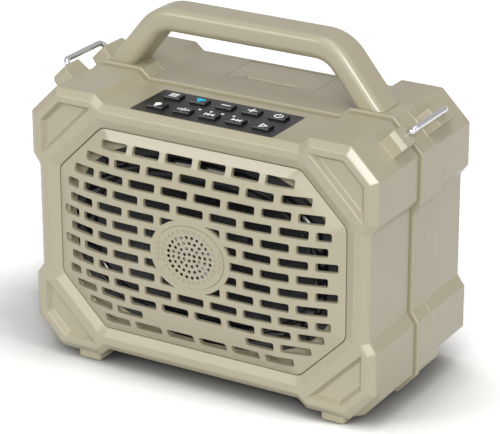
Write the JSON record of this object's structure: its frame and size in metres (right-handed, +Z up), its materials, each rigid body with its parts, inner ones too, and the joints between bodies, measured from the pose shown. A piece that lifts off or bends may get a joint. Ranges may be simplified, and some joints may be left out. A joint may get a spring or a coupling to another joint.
{
  "type": "outdoor speaker",
  "caption": "Portable outdoor speaker: box case with corner guards, crowned slotted grille, oval tweeter cover, carry handle, strap bars, press keys and a hinged port cover.",
  "frame": {"origin": "middle of the bounding box at the soles of the feet", "axes": "+X to the right seen from the front, +Y from the grille to the back, +Z up"},
  "size_m": [0.2634, 0.1408, 0.2344],
  "materials": {
    "sand_abs": "fine matt texture",
    "dark_rubber": "satin",
    "sand_rubber": "matt",
    "black_steel": "satin black",
    "woven_cone": "woven",
    "ferrite": "matt",
    "zinc_steel": "zinc plated",
    "chrome_rod": "polished",
    "silver_dome": "polished",
    "black_abs": "satin",
    "light_guide": "clear",
    "circuit_board": "solder mask",
    "plated_steel": "plated",
    "cell_wrap": "film"
  },
  "bodies": {
    "case": {"front_shell": "sand_abs", "grille": "sand_abs", "tweeter_cover": "sand_abs", "tweeter": "silver_dome", "woofer_gasket": "dark_rubber", "woofer_basket": "black_steel", "woofer_surround": "dark_rubber", "woofer_cone": "woven_cone", "dust_cap": "woven_cone", "woofer_magnet": "ferrite", "woofer_screws": "black_steel", "shell_seal": "sand_rubber", "middle_band": "sand_abs", "rear_shell": "sand_abs", "shell_screws": "zinc_steel", "carry_handle": "sand_abs", "handle_screws": "zinc_steel", "left_strap_bar": "chrome_rod", "right_strap_bar": "chrome_rod", "key_panel": "black_abs", "light_pipes": "light_guide", "key_board": "circuit_board", "key_switches": "black_abs", "key_board_screws": "zinc_steel", "port_hinge_pin": "zinc_steel", "port_board": "circuit_board", "charge_socket": "plated_steel", "audio_socket": "black_abs", "card_socket": "plated_steel", "port_board_screws": "zinc_steel", "main_board": "circuit_board", "main_board_screws": "zinc_steel", "battery_holder": "black_abs", "battery_cells": "cell_wrap", "feet": "sand_abs"},
    "key_mode": {"key_mode": "black_abs"},
    "key_wireless": {"key_wireless": "black_abs"},
    "key_minus": {"key_minus": "black_abs"},
    "key_plus": {"key_plus": "black_abs"},
    "key_power": {"key_power": "black_abs"},
    "key_light": {"key_light": "black_abs"},
    "key_bass": {"key_bass": "black_abs"},
    "key_previous": {"key_previous": "black_abs"},
    "key_next": {"key_next": "black_abs"},
    "key_play": {"key_play": "black_abs"},
    "port_cover": {"port_cover": "sand_abs"}
  },
  "joints": [
    {"name": "key_mode_press", "type": "slide", "parent": "case", "child": "key_mode", "axis": [0, 0, -1], "range_m": [0, 0.0006], "stiffness_N_per_m": 400, "springref_m": -0.0003},
    {"name": "key_wireless_press", "type": "slide", "parent": "case", "child": "key_wireless", "axis": [0, 0, -1], "range_m": [0, 0.0006], "stiffness_N_per_m": 400, "springref_m": -0.0003},
    {"name": "key_minus_press", "type": "slide", "parent": "case", "child": "key_minus", "axis": [0, 0, -1], "range_m": [0, 0.0006], "stiffness_N_per_m": 400, "springref_m": -0.0003},
    {"name": "key_plus_press", "type": "slide", "parent": "case", "child": "key_plus", "axis": [0, 0, -1], "range_m": [0, 0.0006], "stiffness_N_per_m": 400, "springref_m": -0.0003},
    {"name": "key_power_press", "type": "slide", "parent": "case", "child": "key_power", "axis": [0, 0, -1], "range_m": [0, 0.0006], "stiffness_N_per_m": 400, "springref_m": -0.0003},
    {"name": "key_light_press", "type": "slide", "parent": "case", "child": "key_light", "axis": [0, 0, -1], "range_m": [0, 0.0006], "stiffness_N_per_m": 400, "springref_m": -0.0003},
    {"name": "key_bass_press", "type": "slide", "parent": "case", "child": "key_bass", "axis": [0, 0, -1], "range_m": [0, 0.0006], "stiffness_N_per_m": 400, "springref_m": -0.0003},
    {"name": "key_previous_press", "type": "slide", "parent": "case", "child": "key_previous", "axis": [0, 0, -1], "range_m": [0, 0.0006], "stiffness_N_per_m": 400, "springref_m": -0.0003},
    {"name": "key_next_press", "type": "slide", "parent": "case", "child": "key_next", "axis": [0, 0, -1], "range_m": [0, 0.0006], "stiffness_N_per_m": 400, "springref_m": -0.0003},
    {"name": "key_play_press", "type": "slide", "parent": "case", "child": "key_play", "axis": [0, 0, -1], "range_m": [0, 0.0006], "stiffness_N_per_m": 400, "springref_m": -0.0003},
    {"name": "port_cover_hinge", "type": "hinge", "parent": "case", "child": "port_cover", "pos_m": [0, 0.0621, 0.183], "axis": [-1, 0, 0], "range_deg": [0, 90]}
  ]
}
